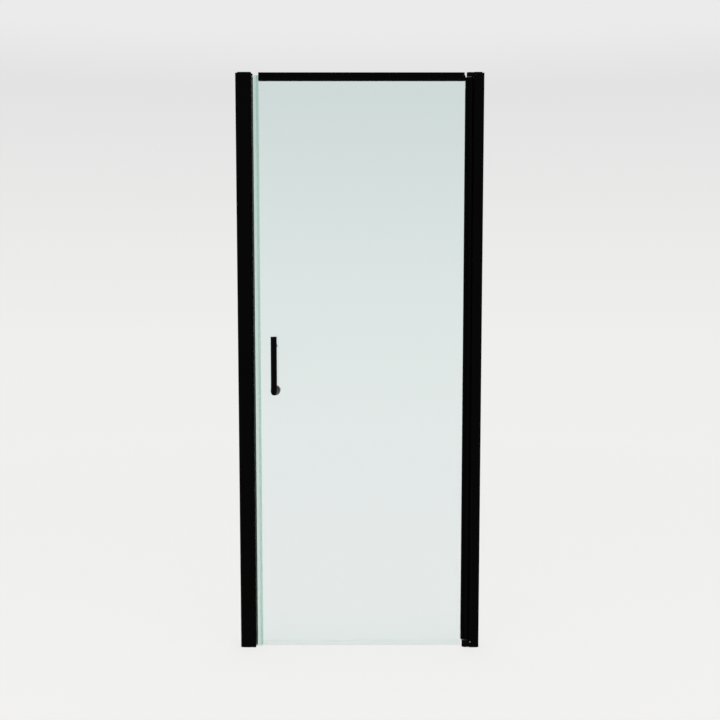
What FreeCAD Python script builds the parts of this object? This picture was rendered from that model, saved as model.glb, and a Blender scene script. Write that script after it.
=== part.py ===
"""Pivot shower door in a black frame: a glass leaf that swings outwards on two pin pivots between a
strike post and a hinge post, each slid over a channel fixed to the wall.

Millimetres, +X to the hinge side, +Y into the shower, +Z up. Every section is drawn from the middle of
the glass, and all sub-parts are then moved in Y so that the origin is centred under the whole door.
"""

import FreeCAD, Part
import math
import os
import re
import Sketcher
from collections import namedtuple

SIZES = {
    # the whole door
    "overall_width": 800,
    "overall_height": 1900,
    # channels on the walls
    "channel_wall": 1.5,
    "channel_leg": 25,
    "channel_reveal": 6.8,
    "channel_top_gap": 2,
    "slide_gap": 0.2,
    "wall_hole": 5.5,
    "outer_hole_offset": 150,
    "inner_hole_offset": 650,
    # posts
    "post_depth": 34,
    "post_wall": 2,
    "post_corner": 2.5,
    "post_rear_corner": 1,
    "strike_post_width": 43.2,
    "hinge_post_width": 25.7,
    "glass_setback": 13,
    "port_outer": 6,
    "port_bore": 3.4,
    "port_inset": 2.1,
    # slot in each post for a strip
    "slot_mouth": 2.4,
    "slot_width": 5,
    "slot_lip": 1,
    "slot_depth": 1.8,
    "slot_margin": 2,
    "strip_gap": 0.1,
    "strike_slot_offset": 3.5,
    "hinge_slot_offset": 6,
    # caps and foot of the strike post
    "foot_height": 3,
    "cap_height": 3,
    # pivots
    "pivot_inset": 13,
    "pin_diameter": 6,
    "pin_recess": 1,
    "pin_nose": 1,
    "running_fit": 0.05,
    "bush_wall": 1,
    "bush_length": 20,
    "washer_radius": 10,
    "washer_thickness": 1.4,
    "thrust_gap": 0.1,
    "lug_radius": 10.3,
    "arm_width": 18,
    "tenon_width": 11,
    "tenon_length": 7,
    "bottom_lug_height": 24,
    "bottom_plate": 8.4,
    "top_lug_height": 14,
    "top_plate": 4,
    "notch_gap": 0.2,
    "lock_screw": 3.2,
    "lock_socket": 1.6,
    "lock_screw_offset": 3.7,
    "lock_screw_setback": 5,
    # glass
    "glass_thickness": 6,
    "glass_bottom": 12,
    "glass_top_cover": 10,
    "glass_corner": 2,
    "notch_corner": 4,
    "glass_hole": 12,
    # hinge stile of the leaf
    "stile_radius": 12.5,
    "stile_flat": 3.5,
    "stile_reach": 14.5,
    "stile_wall": 2,
    "glass_bite": 10,
    "gasket_thickness": 1.5,
    "block_length": 32,
    "block_fit": 0.05,
    "block_screw_height": 26,
    "block_screw_bite": 8,
    "edge_gap": 0.5,
    # top rail of the leaf
    "rail_height": 26.1,
    "rail_wall": 2,
    "rail_corner": 1,
    "rail_start_gap": 23.5,
    "rail_relief": 2.8,
    "groove_drop": 12.2,
    "groove_size": 0.8,
    "rail_cap": 1.5,
    "rail_plug": 5,
    "plug_gap": 0.2,
    # closing seal with its magnet, and the strip that it meets
    "seal_wall": 1.2,
    "seal_leg": 7.2,
    "seal_chamber": 9.4,
    "seal_post_gap": 0.4,
    "seal_bottom": 3,
    "seal_top_rise": 1,
    "pocket_wall": 0.6,
    "magnet_width": 5,
    "magnet_depth": 4.2,
    "soft_gap": 0.3,
    "strike_reach": 4.2,
    "strike_width": 4,
    "strike_wall": 0.7,
    "strip_end": 6,
    # fin on the hinge post
    "fin_thickness": 0.8,
    "fin_end_gap": 2,
    # seal under the glass
    "drip_leg": 10,
    "drip_gap": 1.5,
    "drip_lean": 3.4,
    "drip_fin": 1.2,
    "drip_end_gap": 1.5,
    # handle
    "handle_inset": 54,
    "handle_height": 869,
    "handle_spacing": 150,
    "handle_standoff": 40,
    "bar_diameter": 20,
    "bar_top_reach": 32.2,
    "bar_bottom_reach": 10,
    "bar_chamfer": 0.8,
    "bar_thread_depth": 8,
    "handle_post": 18,
    "handle_gasket": 1,
    "stud_diameter": 6,
    "stud_clearance": 0.2,
    "knob_diameter": 32,
    "knob_depth": 28,
    "knob_neck": 20,
    "knob_neck_length": 6,
    "knob_edge": 2,
    "knob_thread_depth": 16,
    "button_diameter": 14,
    "button_height": 3,
    "button_edge": 1,
    # screws
    "screw_diameter": 3.9,
    "pan_head_diameter": 7.6,
    "pan_head_height": 2.4,
    "screw_bite": 4,
    "post_screw_offset": 200,
    "post_screw_inset": 9,
    "cover_diameter": 11,
    "cover_height": 3.6,
    "cover_wall": 0.9,
    "plate_head": 6.6,
    "plate_head_height": 2,
    "plate_screw_bite": 12,
    "block_screw": 4,
    "block_head": 7,
    "block_head_height": 1.4,
}

# Places and sizes that follow from the ones above.
FOLLOWING = {
    "half_width": "overall_width / 2",
    "left_open_x": "0 - half_width + channel_reveal",
    "strike_face_x": "left_open_x + strike_post_width",
    "right_open_x": "half_width - channel_reveal",
    "hinge_face_x": "right_open_x - hinge_post_width",
    "pivot_x": "hinge_face_x - pivot_inset",
    "post_front_y": "0 - glass_setback",
    "post_rear_y": "post_depth - glass_setback",
    "channel_front_y": "post_front_y + post_wall + slide_gap",
    "channel_rear_y": "post_rear_y - post_wall - slide_gap",
    "wall_hole_y": "(channel_front_y + channel_rear_y) / 2",
    "front_port_y": "post_front_y + post_wall + port_inset",
    "rear_port_y": "post_rear_y - post_wall - port_inset",
    "bush_radius": "pin_diameter / 2 + running_fit + bush_wall",
    "stile_bottom": "bottom_lug_height + thrust_gap + washer_thickness",
    "stile_top": "overall_height - top_lug_height - thrust_gap - washer_thickness",
    "cheek_half": "glass_half + gasket_thickness + stile_wall",
    "slot_half": "glass_half + gasket_thickness",
    "glass_half": "glass_thickness / 2",
    "stile_edge_x": "pivot_x - stile_reach",
    "stile_flat_x": "pivot_x - stile_flat",
    "stile_inner_x": "stile_flat_x + stile_wall",
    "glass_right_x": "stile_edge_x + glass_bite",
    "glass_left_x": "seal_end_x + seal_pocket_width + seal_chamber",
    "glass_notch_x": "stile_edge_x - edge_gap",
    "glass_top": "overall_height - glass_top_cover",
    "glass_low_notch": "stile_bottom + block_length + notch_corner",
    "glass_high_notch": "stile_top - block_length - notch_corner",
    "seal_end_x": "strike_face_x + seal_post_gap",
    "seal_pocket_width": "magnet_width + 2 * pocket_wall",
    "seal_half": "glass_half + seal_wall",
    "pocket_rear_y": "magnet_depth + 2 * pocket_wall - seal_half",
    "rail_left_x": "strike_face_x + rail_start_gap",
    "rail_bottom": "overall_height - rail_height",
    "groove_z": "overall_height - groove_drop",
    "rail_slot_top": "glass_top + gasket_thickness",
    "handle_x": "glass_left_x + handle_inset",
    "bar_y": "0 - glass_half - handle_standoff",
    "handle_front": "glass_half + handle_standoff + bar_diameter / 2",
    "knob_rear": "glass_half + handle_gasket + knob_depth",
    "glass_y": "(handle_front - knob_rear) / 2",
    "lock_x": "hinge_face_x + lock_screw_offset",
    "lock_low": "bottom_lug_height - lock_screw_setback",
    "lock_high": "overall_height - top_lug_height + lock_screw_setback",
    "upper_post_z": "handle_height + handle_spacing",
    "block_screw_seat": "sqrt(stile_radius^2 - (block_head / 2)^2)",
}

POST_SCREWS = 3  # a side: near both ends and in the middle
POST_SCREW_RUN = "overall_height - 2 * post_screw_offset"

Corner = namedtuple("Corner", "x y radius")  # a square corner rounded off
Arc = namedtuple("Arc", "x y radius side")  # an arc to this point, with its centre left (1) or right (-1)

doc = FreeCAD.newDocument("PivotShowerDoor")
sheet = doc.addObject("Spreadsheet::Sheet", "Sizes")
for row, (alias, size) in enumerate(SIZES.items(), start=1):
    sheet.set(f"A{row}", alias)
    sheet.set(f"B{row}", str(size))
    sheet.setAlias(f"B{row}", alias)
doc.recompute()

sub_parts = []


def bound(text):
    """The expression for a size: driving names read the sheet, following names are worked out first."""

    def read(match):
        name = match.group(0)
        if name in FOLLOWING:
            return f"({bound(FOLLOWING[name])})"
        return f"Sizes.{name}" if name in SIZES else name

    return re.sub(r"[a-z][a-z_]*", read, str(text))


def value(text):
    return float(sheet.evalExpression(bound(text)))


def new_body(label, x="0", y="0", z="0", turn=None):
    """A sub-part placed at x, y, z; y counts from the middle of the glass."""
    body = doc.addObject("PartDesign::Body", label)
    body.Label = label
    if turn is not None:
        body.Placement = FreeCAD.Placement(FreeCAD.Vector(), turn)
    for axis, place in (("x", x), ("y", f"glass_y + {y}"), ("z", z)):
        body.setExpression(f"Placement.Base.{axis}", bound(place))
    sub_parts.append(body)
    return body


def origin_item(body, role):
    return next(item for item in body.Origin.OriginFeatures if item.Role == role)


def new_sketch(body, plane):
    sketch = body.newObject("Sketcher::SketchObject", body.Label + "_sketch")
    sketch.AttachmentSupport = [(origin_item(body, plane), "")]
    sketch.MapMode = "FlatFace"
    return sketch


def bind(sketch, kind, items, expression):
    """One dimension of a sketch, held to an expression."""
    size = sketch.evalExpression(expression)
    index = sketch.addConstraint(Sketcher.Constraint(kind, *items, float(size)))
    sketch.setExpression(f"Constraints[{index}]", expression)


def corner_points(nodes, index):
    """Start and end of the rounding at a square corner."""
    node, before = nodes[index], nodes[index - 1]
    after = nodes[(index + 1) % len(nodes)]
    here = (value(node.x), value(node.y))
    ends = []
    for other in (before, after):
        way = (value(other[0]) - here[0], value(other[1]) - here[1])
        far = math.hypot(*way)
        steps = [round(part / far) for part in way]
        ends.append([f"({at}) + ({step}) * ({node.radius})" for at, step in zip(node[:2], steps)])
    inward = [(value(before[0]) - here[0]), (value(before[1]) - here[1])]
    outward = [(value(after[0]) - here[0]), (value(after[1]) - here[1])]
    turn = outward[0] * inward[1] - outward[1] * inward[0]
    return ends[0], Arc(*ends[1], node.radius, 1 if turn > 0 else -1)


def draw(sketch, nodes):
    """A closed loop of lines and arcs, with every end held to its own two expressions."""
    path = []
    for index, node in enumerate(nodes):
        path += corner_points(nodes, index) if isinstance(node, Corner) else [node]
    start = sketch.GeometryCount
    ends = []
    for index, node in enumerate(path):
        a = FreeCAD.Vector(value(path[index - 1][0]), value(path[index - 1][1]), 0)
        b = FreeCAD.Vector(value(node[0]), value(node[1]), 0)
        if isinstance(node, Arc):
            radius = value(node.radius)
            half = (b - a) / 2
            left = FreeCAD.Vector(-half.y, half.x, 0).normalize()
            rise = math.sqrt(max(radius**2 - half.Length**2, 0))
            centre = a + half + left * rise * node.side
            first, last = (a, b) if node.side > 0 else (b, a)
            angles = [math.atan2(p.y - centre.y, p.x - centre.x) for p in (first, last)]
            circle = Part.Circle(centre, FreeCAD.Vector(0, 0, 1), radius)
            sketch.addGeometry(Part.ArcOfCircle(circle, *angles))
            ends.append((1, 2) if node.side > 0 else (2, 1))
        else:
            sketch.addGeometry(Part.LineSegment(a, b))
            ends.append((1, 2))
    for index, node in enumerate(path):
        geometry, following = start + index, start + (index + 1) % len(path)
        last, first = ends[index][1], ends[(index + 1) % len(path)][0]
        sketch.addConstraint(Sketcher.Constraint("Coincident", geometry, last, following, first))
        bind(sketch, "DistanceX", (-1, 1, geometry, last), bound(node[0]))
        bind(sketch, "DistanceY", (-1, 1, geometry, last), bound(node[1]))
        if isinstance(node, Arc):
            bind(sketch, "Radius", (geometry,), bound(node.radius))


def box(x_from, x_to, y_from, y_to):
    return [(x_from, y_from), (x_to, y_from), (x_to, y_to), (x_from, y_to)]


def circle(sketch, x, y, diameter):
    centre = FreeCAD.Vector(value(x), value(y), 0)
    shape = Part.Circle(centre, FreeCAD.Vector(0, 0, 1), value(diameter) / 2)
    index = sketch.addGeometry(shape)
    bind(sketch, "DistanceX", (-1, 1, index, 3), bound(x))
    bind(sketch, "DistanceY", (-1, 1, index, 3), bound(y))
    bind(sketch, "Diameter", (index,), bound(diameter))


def pad(body, sketch, length, down=False, both=False):
    feature = body.newObject("PartDesign::Pad", body.Label + "_pad")
    feature.Profile = sketch
    feature.setExpression("Length", bound(length))
    feature.Reversed = down
    feature.Midplane = both
    return feature


def pocket(body, sketch, length=None, forward=False, both=False):
    """A cut through all, or to a length, against the sketch's normal unless forward or both ways."""
    feature = body.newObject("PartDesign::Pocket", body.Label + "_pocket")
    feature.Profile = sketch
    if length is None:
        feature.Type = "ThroughAll"
    else:
        feature.setExpression("Length", bound(length))
    feature.Reversed = forward
    feature.Midplane = both
    return feature


def extrusion(label, plane, loops, length, x="0", y="0", z="0", both=False):
    """A sub-part that is one section of closed loops, drawn out straight."""
    body = new_body(label, x, y, z)
    sketch = new_sketch(body, plane)
    for loop in loops:
        draw(sketch, loop)
    pad(body, sketch, length, both=both)
    return body


def turned(label, nodes, x, y, z, turn=None):
    """A sub-part turned about its own Z axis from half of its section."""
    body = new_body(label, x, y, z, turn)
    sketch = new_sketch(body, "XZ_Plane")
    draw(sketch, nodes)
    feature = body.newObject("PartDesign::Revolution", label + "_turn")
    feature.Profile = sketch
    feature.ReferenceAxis = (sketch, ["V_Axis"])
    feature.Angle = 360
    return body


def repeat(body, axis, length, count):
    """Copies of a turned sub-part in a row along one of its own axes."""
    feature = body.newObject("PartDesign::LinearPattern", body.Label + "_row")
    feature.Originals = [body.Tip]
    feature.Direction = (origin_item(body, axis), [""])
    feature.setExpression("Length", bound(length))
    feature.Occurrences = count
    body.Tip = feature


def ring(label, outer, inner, length, x, y, z):
    body = new_body(label, x, y, z)
    sketch = new_sketch(body, "XY_Plane")
    circle(sketch, "0", "0", outer)
    circle(sketch, "0", "0", inner)
    pad(body, sketch, length)
    return body


FACING_REAR = FreeCAD.Rotation(FreeCAD.Vector(1, 0, 0), -90)  # own Z to +Y
FACING_FRONT = FreeCAD.Rotation(FreeCAD.Vector(1, 0, 0), 90)  # own Z to -Y
UPSIDE_DOWN = FreeCAD.Rotation(FreeCAD.Vector(1, 0, 0), 180)


# ---- the frame: wall channels, posts and what they carry ----


def wall_channel(label, side, low_plate, high_plate):
    """A U-section that screws flat to the wall, its legs cut back for the plates on the post's ends."""
    wall_x = f"{side} * half_width"
    web_x = f"{side} * (half_width - channel_wall)"
    tip_x = f"{side} * (half_width - channel_leg)"
    section = [
        (wall_x, "channel_front_y"),
        (wall_x, "channel_rear_y"),
        (tip_x, "channel_rear_y"),
        (tip_x, "channel_rear_y - channel_wall"),
        (web_x, "channel_rear_y - channel_wall"),
        (web_x, "channel_front_y + channel_wall"),
        (tip_x, "channel_front_y + channel_wall"),
        (tip_x, "channel_front_y"),
    ]
    body = extrusion(label, "XY_Plane", [section], "overall_height - channel_top_gap")
    holes = new_sketch(body, "YZ_Plane")
    for offset in ("outer_hole_offset", "inner_hole_offset"):
        circle(holes, "wall_hole_y", offset, "wall_hole")
        circle(holes, "wall_hole_y", f"overall_height - {offset}", "wall_hole")
    pocket(body, holes, both=True)
    post_screw_holes(body, side, "0")
    cut_backs = new_sketch(body, "XZ_Plane")
    open_x = f"{side} * (half_width - channel_reveal + notch_gap)"
    draw(cut_backs, box(tip_x, open_x, "0", f"{low_plate} + notch_gap"))
    top = "overall_height - channel_top_gap"
    draw(cut_backs, box(tip_x, open_x, f"overall_height - {high_plate} - notch_gap", top))
    pocket(body, cut_backs, both=True)


def post_screw_holes(body, side, bottom):
    """Holes for the three screws that hold a post to its channel, in the rear wall only."""
    holes = new_sketch(body, "XZ_Plane")
    screw_x = f"{side} * (half_width - channel_reveal - post_screw_inset)"
    for height in ("post_screw_offset", "overall_height / 2", "overall_height - post_screw_offset"):
        circle(holes, screw_x, f"{height} - {bottom}", "screw_diameter")
    pocket(body, holes)


def post(label, side, face_x, open_x, slot_y, port_places, bottom, top):
    """A post: a U-section open to the wall, with screw ports and a slot for a strip."""
    section = [
        (open_x, "post_front_y"),
        Corner(face_x, "post_front_y", "post_corner"),
        Corner(face_x, "post_rear_y", "post_rear_corner"),
        (open_x, "post_rear_y"),
        (open_x, "post_rear_y - post_wall"),
        (f"{face_x} + {side} * post_wall", "post_rear_y - post_wall"),
        (f"{face_x} + {side} * post_wall", "post_front_y + post_wall"),
        (open_x, "post_front_y + post_wall"),
    ]
    length = f"overall_height - {top} - {bottom}"
    body = extrusion(label, "XY_Plane", [section], length, z=bottom)
    port_x = f"{face_x} + {side} * (post_wall + port_inset)"
    slot_end = f"{face_x} + {side} * (slot_lip + slot_depth)"
    boss_half = "(slot_width / 2 + slot_margin)"
    bosses = new_sketch(body, "XY_Plane")
    boss_end = f"{slot_end} + {side} * slot_margin"
    draw(bosses, box(face_x, boss_end, f"{slot_y} - {boss_half}", f"{slot_y} + {boss_half}"))
    for port_y in port_places:
        circle(bosses, port_x, port_y, "port_outer")
    pad(body, bosses, length)
    cuts = new_sketch(body, "XY_Plane")
    lip_x = f"{face_x} + {side} * slot_lip"
    draw(cuts, slot_section(face_x, lip_x, slot_end, slot_y, "0"))
    for port_y in port_places:
        circle(cuts, port_x, port_y, "port_bore")
    pocket(body, cuts, forward=True)
    post_screw_holes(body, side, bottom)
    return body


def slot_section(mouth_x, lip_x, end_x, slot_y, gap):
    """The T shape of the slot in a post, or with a gap, of the root that slides into it."""
    mouth_half = f"(slot_mouth / 2 - {gap})"
    inner_half = f"(slot_width / 2 - {gap})"
    return [
        (mouth_x, f"{slot_y} - {mouth_half}"),
        (lip_x, f"{slot_y} - {mouth_half}"),
        (lip_x, f"{slot_y} - {inner_half}"),
        (end_x, f"{slot_y} - {inner_half}"),
        (end_x, f"{slot_y} + {inner_half}"),
        (lip_x, f"{slot_y} + {inner_half}"),
        (lip_x, f"{slot_y} + {mouth_half}"),
        (mouth_x, f"{slot_y} + {mouth_half}"),
    ]


def strike_post():
    """The post that the leaf closes against."""
    ports = ("front_port_y", "rear_port_y")
    ends = ("foot_height", "cap_height")
    post("strike_post", -1, "strike_face_x", "left_open_x", "strike_slot_offset", ports, *ends)


def hinge_post():
    """The post at the pivots, notched at both ends where a bracket's arm goes in."""
    ports = ("rear_port_y",)
    ends = ("bottom_plate", "top_plate")
    body = post("hinge_post", 1, "hinge_face_x", "right_open_x", "hinge_slot_offset", ports, *ends)
    notch_half = "(tenon_width / 2 + notch_gap)"
    low = "bottom_lug_height + notch_gap - bottom_plate"
    high = "overall_height - top_lug_height - notch_gap - bottom_plate"
    post_top = "overall_height - top_plate - bottom_plate"
    notches = new_sketch(body, "YZ_Plane")
    draw(notches, box(f"0 - {notch_half}", notch_half, "0", low))
    draw(notches, box(f"0 - {notch_half}", notch_half, high, post_top))
    pocket(body, notches, both=True)
    locks = new_sketch(body, "XZ_Plane")
    circle(locks, "lock_x", "lock_low - bottom_plate", "lock_screw")
    circle(locks, "lock_x", "lock_high - bottom_plate", "lock_screw")
    pocket(body, locks, forward=True)


def end_plate(body, side, face_x, open_x, port_places, thickness, down):
    """The plate that closes one end of a post, with sunk holes for the screws into its ports."""
    outline = new_sketch(body, "XY_Plane")
    loop = [
        (open_x, "post_front_y"),
        Corner(face_x, "post_front_y", "post_corner"),
        Corner(face_x, "post_rear_y", "post_rear_corner"),
        (open_x, "post_rear_y"),
    ]
    draw(outline, loop)
    pad(body, outline, thickness, down=down)
    port_x = f"{face_x} + {side} * (post_wall + port_inset)"
    for diameter, depth in (("screw_diameter", thickness), ("plate_head", "plate_head_height")):
        holes = new_sketch(body, "XY_Plane")
        for port_y in port_places:
            circle(holes, port_x, port_y, diameter)
        pocket(body, holes, depth, forward=not down)


def post_end(label, thickness, down):
    """The plastic cap or foot of the strike post."""
    body = new_body(label, z="overall_height" if down else "0")
    ports = ("front_port_y", "rear_port_y")
    end_plate(body, -1, "strike_face_x", "left_open_x", ports, thickness, down)


def plate_screws(label, side, face_x, first_y, z, turn, plate, count):
    """Screws with sunk heads, clear of an end plate's holes and tight in the ports of a post."""
    nodes = [
        ("0", "0"),
        ("plate_head / 2", "0"),
        ("plate_head / 2", "plate_head_height"),
        ("port_bore / 2", "plate_head_height"),
        ("port_bore / 2", f"{plate} + plate_screw_bite"),
        ("0", f"{plate} + plate_screw_bite"),
    ]
    body = turned(label, nodes, f"{face_x} + {side} * (post_wall + port_inset)", first_y, z, turn)
    if count > 1:
        repeat(body, "Y_Axis", "rear_port_y - front_port_y", count)


def bracket(label, down, plate, lug_height):
    """A pivot bracket: an end plate for the hinge post, and the arm and lug that carry the pin."""
    body = new_body(label, z="overall_height" if down else "0")
    end_plate(body, 1, "hinge_face_x", "right_open_x", ("rear_port_y",), plate, down)
    lug = new_sketch(body, "XY_Plane")
    circle(lug, "pivot_x", "0", "2 * lug_radius")
    pad(body, lug, lug_height, down=down)
    arm = new_sketch(body, "XY_Plane")
    draw(arm, box("pivot_x", "hinge_face_x", "0 - arm_width / 2", "arm_width / 2"))
    pad(body, arm, lug_height, down=down)
    tenon = new_sketch(body, "XY_Plane")
    tenon_end = "hinge_face_x + tenon_length"
    draw(tenon, box("pivot_x", tenon_end, "0 - tenon_width / 2", "tenon_width / 2"))
    pad(body, tenon, lug_height, down=down)
    bore = new_sketch(body, "XY_Plane")
    circle(bore, "pivot_x", "0", "pin_diameter")
    pocket(body, bore, both=True)


def pivot_pin(label, z, turn, lug_height):
    """A pin pressed into a bracket's lug, with a tapered nose that enters the bush."""
    length = f"({lug_height} - pin_recess + thrust_gap + washer_thickness + bush_length)"
    nodes = [
        ("0", "0"),
        ("pin_diameter / 2", "0"),
        ("pin_diameter / 2", f"{length} - pin_nose"),
        ("pin_diameter / 2 - pin_nose", length),
        ("0", length),
    ]
    turned(label, nodes, "pivot_x", "0", z, turn)


def lock_screw(label, height):
    """A socket set screw through the front of the hinge post, tight on the bracket's tenon."""
    length = "glass_setback - tenon_width / 2"
    nodes = [
        ("lock_socket / 2", "0"),
        ("lock_screw / 2", "0"),
        ("lock_screw / 2", length),
        ("0", length),
        ("0", "lock_socket"),
        ("lock_socket / 2", "lock_socket"),
    ]
    turned(label, nodes, "lock_x", "post_front_y", height, FACING_REAR)


def post_screws(label, side):
    """Three pan-head screws through the rear of a post into the channel behind it."""
    length = "post_wall + slide_gap + channel_wall + screw_bite"
    nodes = [
        ("0", "0 - pan_head_height"),
        ("pan_head_diameter / 2", "0 - pan_head_height"),
        ("pan_head_diameter / 2", "0"),
        ("screw_diameter / 2", "0"),
        ("screw_diameter / 2", length),
        ("0", length),
    ]
    screw_x = f"{side} * (half_width - channel_reveal - post_screw_inset)"
    body = turned(label, nodes, screw_x, "post_rear_y", "post_screw_offset", FACING_FRONT)
    repeat(body, "Y_Axis", POST_SCREW_RUN, POST_SCREWS)


def screw_covers(label, side):
    """Three round plastic covers that snap over the heads of the post screws."""
    inner = "(cover_diameter / 2 - cover_wall)"
    nodes = [
        (inner, "0"),
        ("cover_diameter / 2", "0"),
        ("cover_diameter / 2", "0 - cover_height"),
        ("0", "0 - cover_height"),
        ("0", "0 - pan_head_height - strip_gap"),
        (inner, "0 - pan_head_height - strip_gap"),
    ]
    screw_x = f"{side} * (half_width - channel_reveal - post_screw_inset)"
    body = turned(label, nodes, screw_x, "post_rear_y", "post_screw_offset", FACING_FRONT)
    repeat(body, "Y_Axis", POST_SCREW_RUN, POST_SCREWS)


def strike_strip():
    """The plastic strip in the strike post that holds its magnet and stops the leaf."""
    face, slot_y = "strike_face_x", "strike_slot_offset"
    front, rear = f"{slot_y} - strike_width / 2", f"{slot_y} + strike_width / 2"
    nose = f"{face} + strike_reach"
    lip, end = f"{face} - slot_lip - strip_gap", f"{face} - slot_lip - slot_depth + strip_gap"
    root = slot_section(face, lip, end, slot_y, "strip_gap")
    outline = root + [(face, rear), (nose, rear), (nose, front), (face, front)]
    wall = "strike_wall"
    core = box(f"{face} + {wall}", f"{nose} - {wall}", f"{front} + {wall}", f"{rear} - {wall}")
    length = "overall_height - foot_height - cap_height"
    extrusion("strike_strip", "XY_Plane", [outline, core], length, z="foot_height")
    extrusion("strike_magnet", "XY_Plane", [core], f"{length} - 2 * strip_end", z="foot_height + strip_end")


def hinge_fin():
    """A rubber strip in the hinge post whose fin closes the gap beside the round stile."""
    face, slot_y = "hinge_face_x", "hinge_slot_offset"
    half = "fin_thickness / 2"
    reach = f"(sqrt((stile_radius + soft_gap)^2 - ({slot_y} - {half})^2))"
    lip, end = f"{face} + slot_lip + strip_gap", f"{face} + slot_lip + slot_depth - strip_gap"
    root = slot_section(face, lip, end, slot_y, "strip_gap")
    outline = root + [
        (face, f"{slot_y} + {half}"),
        (f"pivot_x + {reach}", f"{slot_y} + {half}"),
        (f"pivot_x + {reach}", f"{slot_y} - {half}"),
        (face, f"{slot_y} - {half}"),
    ]
    bottom = "bottom_lug_height + fin_end_gap"
    length = f"overall_height - top_lug_height - fin_end_gap - ({bottom})"
    extrusion("hinge_fin_seal", "XY_Plane", [outline], length, z=bottom)


# ---- the leaf: glass, stile, rail, seals and handle ----


def glass():
    """The toughened pane, cut back at the stile's ends for the pivot blocks, with two handle holes."""
    low, high = "glass_low_notch", "glass_high_notch"
    outline = [
        Corner("glass_left_x", "glass_bottom", "glass_corner"),
        Corner("glass_notch_x", "glass_bottom", "glass_corner"),
        Corner("glass_notch_x", low, "notch_corner"),
        Corner("glass_right_x", low, "glass_corner"),
        Corner("glass_right_x", high, "glass_corner"),
        Corner("glass_notch_x", high, "notch_corner"),
        Corner("glass_notch_x", "glass_top", "glass_corner"),
        Corner("glass_left_x", "glass_top", "glass_corner"),
    ]
    body = new_body("glass_panel")
    sketch = new_sketch(body, "XZ_Plane")
    draw(sketch, outline)
    circle(sketch, "handle_x", "handle_height", "glass_hole")
    circle(sketch, "handle_x", "upper_post_z", "glass_hole")
    pad(body, sketch, "glass_thickness", both=True)


def stile():
    """The leaf's hinge profile: two cheeks that grip the glass and a round back about the pivot axis."""
    flat_y = "sqrt(stile_radius^2 - stile_flat^2)"
    inner_radius = "(stile_radius - stile_wall)"
    inner_y = f"sqrt({inner_radius}^2 - (stile_flat - stile_wall)^2)"
    section = [
        ("stile_edge_x", "0 - cheek_half"),
        ("stile_flat_x", "0 - cheek_half"),
        ("stile_flat_x", f"0 - {flat_y}"),
        Arc("pivot_x + stile_radius", "0", "stile_radius", 1),
        Arc("stile_flat_x", flat_y, "stile_radius", 1),
        ("stile_flat_x", "cheek_half"),
        ("stile_edge_x", "cheek_half"),
        ("stile_edge_x", "slot_half"),
        ("stile_inner_x", "slot_half"),
        ("stile_inner_x", inner_y),
        Arc(f"pivot_x + {inner_radius}", "0", inner_radius, -1),
        Arc("stile_inner_x", f"0 - {inner_y}", inner_radius, -1),
        ("stile_inner_x", "0 - slot_half"),
        ("stile_edge_x", "0 - slot_half"),
    ]
    body = extrusion("hinge_stile", "XY_Plane", [section], "stile_top - stile_bottom", z="stile_bottom")
    heights = ("block_screw_height", "stile_top - stile_bottom - block_screw_height")
    holes = new_sketch(body, "XZ_Plane")
    seats = new_sketch(body, "XZ_Plane")
    seats.setExpression("AttachmentOffset.Base.z", bound("0 - block_screw_seat"))
    for height in heights:
        circle(holes, "pivot_x", height, "block_screw")
        circle(seats, "pivot_x", height, "block_head")
    pocket(body, holes)
    pocket(body, seats)


def pivot_block(label, bottom, screw_height):
    """The nylon block that fills one end of the stile and holds its bush."""
    radius = "(stile_radius - stile_wall - block_fit)"
    flat = "(stile_flat - stile_wall - block_fit)"
    back_y = f"sqrt({radius}^2 - {flat}^2)"
    flat_x = f"pivot_x - {flat}"
    tongue_x, tongue_half = "stile_edge_x + edge_gap", "(slot_half - block_fit)"
    section = [
        (tongue_x, f"0 - {tongue_half}"),
        (flat_x, f"0 - {tongue_half}"),
        (flat_x, f"0 - {back_y}"),
        Arc(f"pivot_x + {radius}", "0", radius, 1),
        Arc(flat_x, back_y, radius, 1),
        (flat_x, tongue_half),
        (tongue_x, tongue_half),
    ]
    body = extrusion(label, "XY_Plane", [section], "block_length", z=bottom)
    bore = new_sketch(body, "XY_Plane")
    circle(bore, "pivot_x", "0", "2 * bush_radius")
    pocket(body, bore, both=True)
    hole = new_sketch(body, "XZ_Plane")
    circle(hole, "pivot_x", screw_height, "block_screw")
    pocket(body, hole)


def pivot_parts(end, bottom_of_block, bottom_of_bush, bottom_of_washer, screw_height):
    """The block, bush, thrust washer and fixing screw at one end of the stile."""
    pivot_block(f"{end}_pivot_block", bottom_of_block, screw_height)
    bore = "pin_diameter + 2 * running_fit"
    axis = ("pivot_x", "0")
    ring(f"{end}_pivot_bush", "2 * bush_radius", bore, "bush_length", *axis, bottom_of_bush)
    ring(f"{end}_thrust_washer", "2 * washer_radius", bore, "washer_thickness", *axis, bottom_of_washer)
    nodes = [
        ("0", "0 - block_head_height"),
        ("block_head / 2 - block_head_height", "0 - block_head_height"),
        ("block_head / 2", "0"),
        ("block_screw / 2", "0"),
        ("block_screw / 2", "block_screw_bite"),
        ("0", "block_screw_bite"),
    ]
    screw_z = f"{bottom_of_block} + {screw_height}"
    turned(f"{end}_block_screw", nodes, "pivot_x", "block_screw_seat", screw_z, FACING_FRONT)


def stile_gasket():
    """The U-shaped rubber between the glass and the stile's cheeks."""
    crown = "glass_right_x + gasket_thickness"
    section = [
        ("stile_edge_x", "0 - slot_half"),
        (crown, "0 - slot_half"),
        (crown, "slot_half"),
        ("stile_edge_x", "slot_half"),
        ("stile_edge_x", "glass_half"),
        ("glass_right_x", "glass_half"),
        ("glass_right_x", "0 - glass_half"),
        ("stile_edge_x", "0 - glass_half"),
    ]
    length = "glass_high_notch - glass_low_notch"
    extrusion("stile_gasket", "XY_Plane", [section], length, z="glass_low_notch")


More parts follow.
